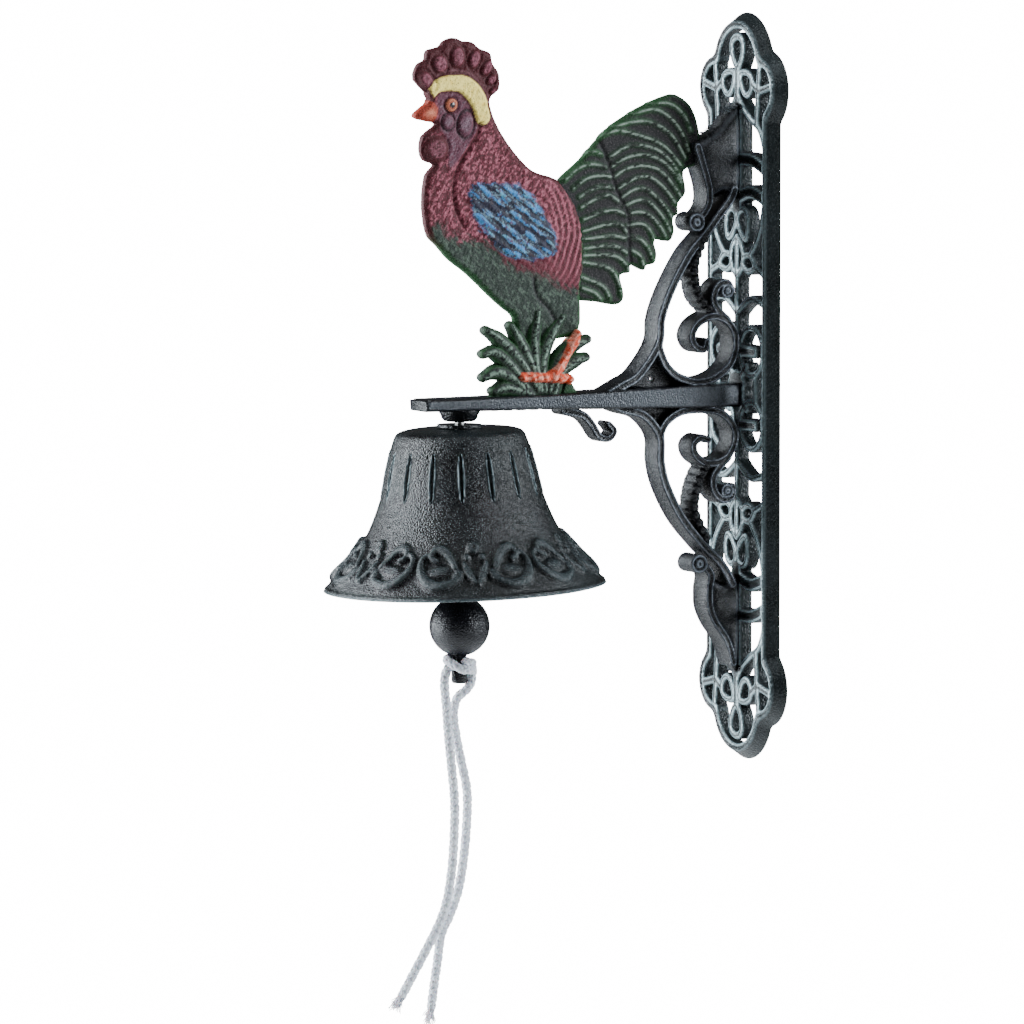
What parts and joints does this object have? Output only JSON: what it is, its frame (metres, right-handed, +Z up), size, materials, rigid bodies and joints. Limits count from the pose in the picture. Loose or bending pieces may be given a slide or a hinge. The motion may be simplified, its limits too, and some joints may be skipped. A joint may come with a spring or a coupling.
{
  "type": "wall mounted bell",
  "caption": "Cast iron wall bell on a scrolled bracket with a painted rooster in relief, openwork wall plate, hung clapper and cotton pull rope.",
  "frame": {"origin": "centre of the wall plate's back face", "axes": "+Z up along the wall plate, +Y into the wall, the arm reaches out along -Y, +X across the plate"},
  "size_m": [0.1132, 0.1879, 0.3993],
  "materials": {
    "iron": "black-green painted cast iron, edges rubbed bright",
    "bell_iron": "dark painted cast iron, pebbled",
    "steel": "plain zinc dulled by handling",
    "rooster_paint": "hand painted maroon with blue, yellow and orange over cast iron",
    "tail_paint": "hand painted dark green over cast iron",
    "grass_paint": "hand painted dark green with orange legs over cast iron",
    "cotton": "undyed braided cotton"
  },
  "bodies": {
    "frame": {"wall_plate": "iron", "bracket_arm": "iron", "arm_boss": "iron", "arm_curl": "iron", "upper_brace": "iron", "lower_brace": "iron", "upper_ring": "iron", "lower_ring": "iron", "upper_spiral": "iron", "lower_spiral": "iron", "upper_bead_strap": "iron", "lower_bead_strap": "iron", "upper_foot": "iron", "lower_foot": "iron", "upper_volute": "iron", "lower_volute": "iron", "upper_spandrel": "iron", "lower_spandrel": "iron", "upper_bracket_screw": "steel", "lower_bracket_screw": "steel", "rooster_body": "rooster_paint", "rooster_tail": "tail_paint", "grass_base": "grass_paint", "hanger_eye_bolt": "steel", "crown_washer": "iron", "inner_washer": "steel", "hanger_nut": "steel"},
    "bell": {"bell": "bell_iron"},
    "link": {"clapper_link": "steel"},
    "clapper": {"clapper_rod": "steel", "clapper_ball": "bell_iron", "rope_hitch": "cotton"},
    "rope": {"rope_strand_left": "cotton", "rope_strand_right": "cotton"}
  },
  "joints": [
    {"name": "bell_turn", "type": "hinge", "parent": "frame", "child": "bell", "pos_m": [0, -0.1313, -0.0123], "axis": [0, 0, 1], "continuous": true},
    {"name": "link_swing", "type": "hinge", "parent": "frame", "child": "link", "pos_m": [0, -0.1313, -0.0289], "axis": [1, 0, 0], "range_deg": [-8, 8]},
    {"name": "clapper_swing", "type": "hinge", "parent": "link", "child": "clapper", "pos_m": [0, -0.1313, -0.0389], "axis": [0, 1, 0], "range_deg": [-42, 42]},
    {"name": "rope_swing", "type": "hinge", "parent": "clapper", "child": "rope", "pos_m": [0, -0.1313, -0.1166], "axis": [0, 1, 0], "range_deg": [-42, 42]}
  ],
  "couplings": [
    {"joint": "rope_swing", "follows": "clapper_swing", "ratio": -1}
  ]
}
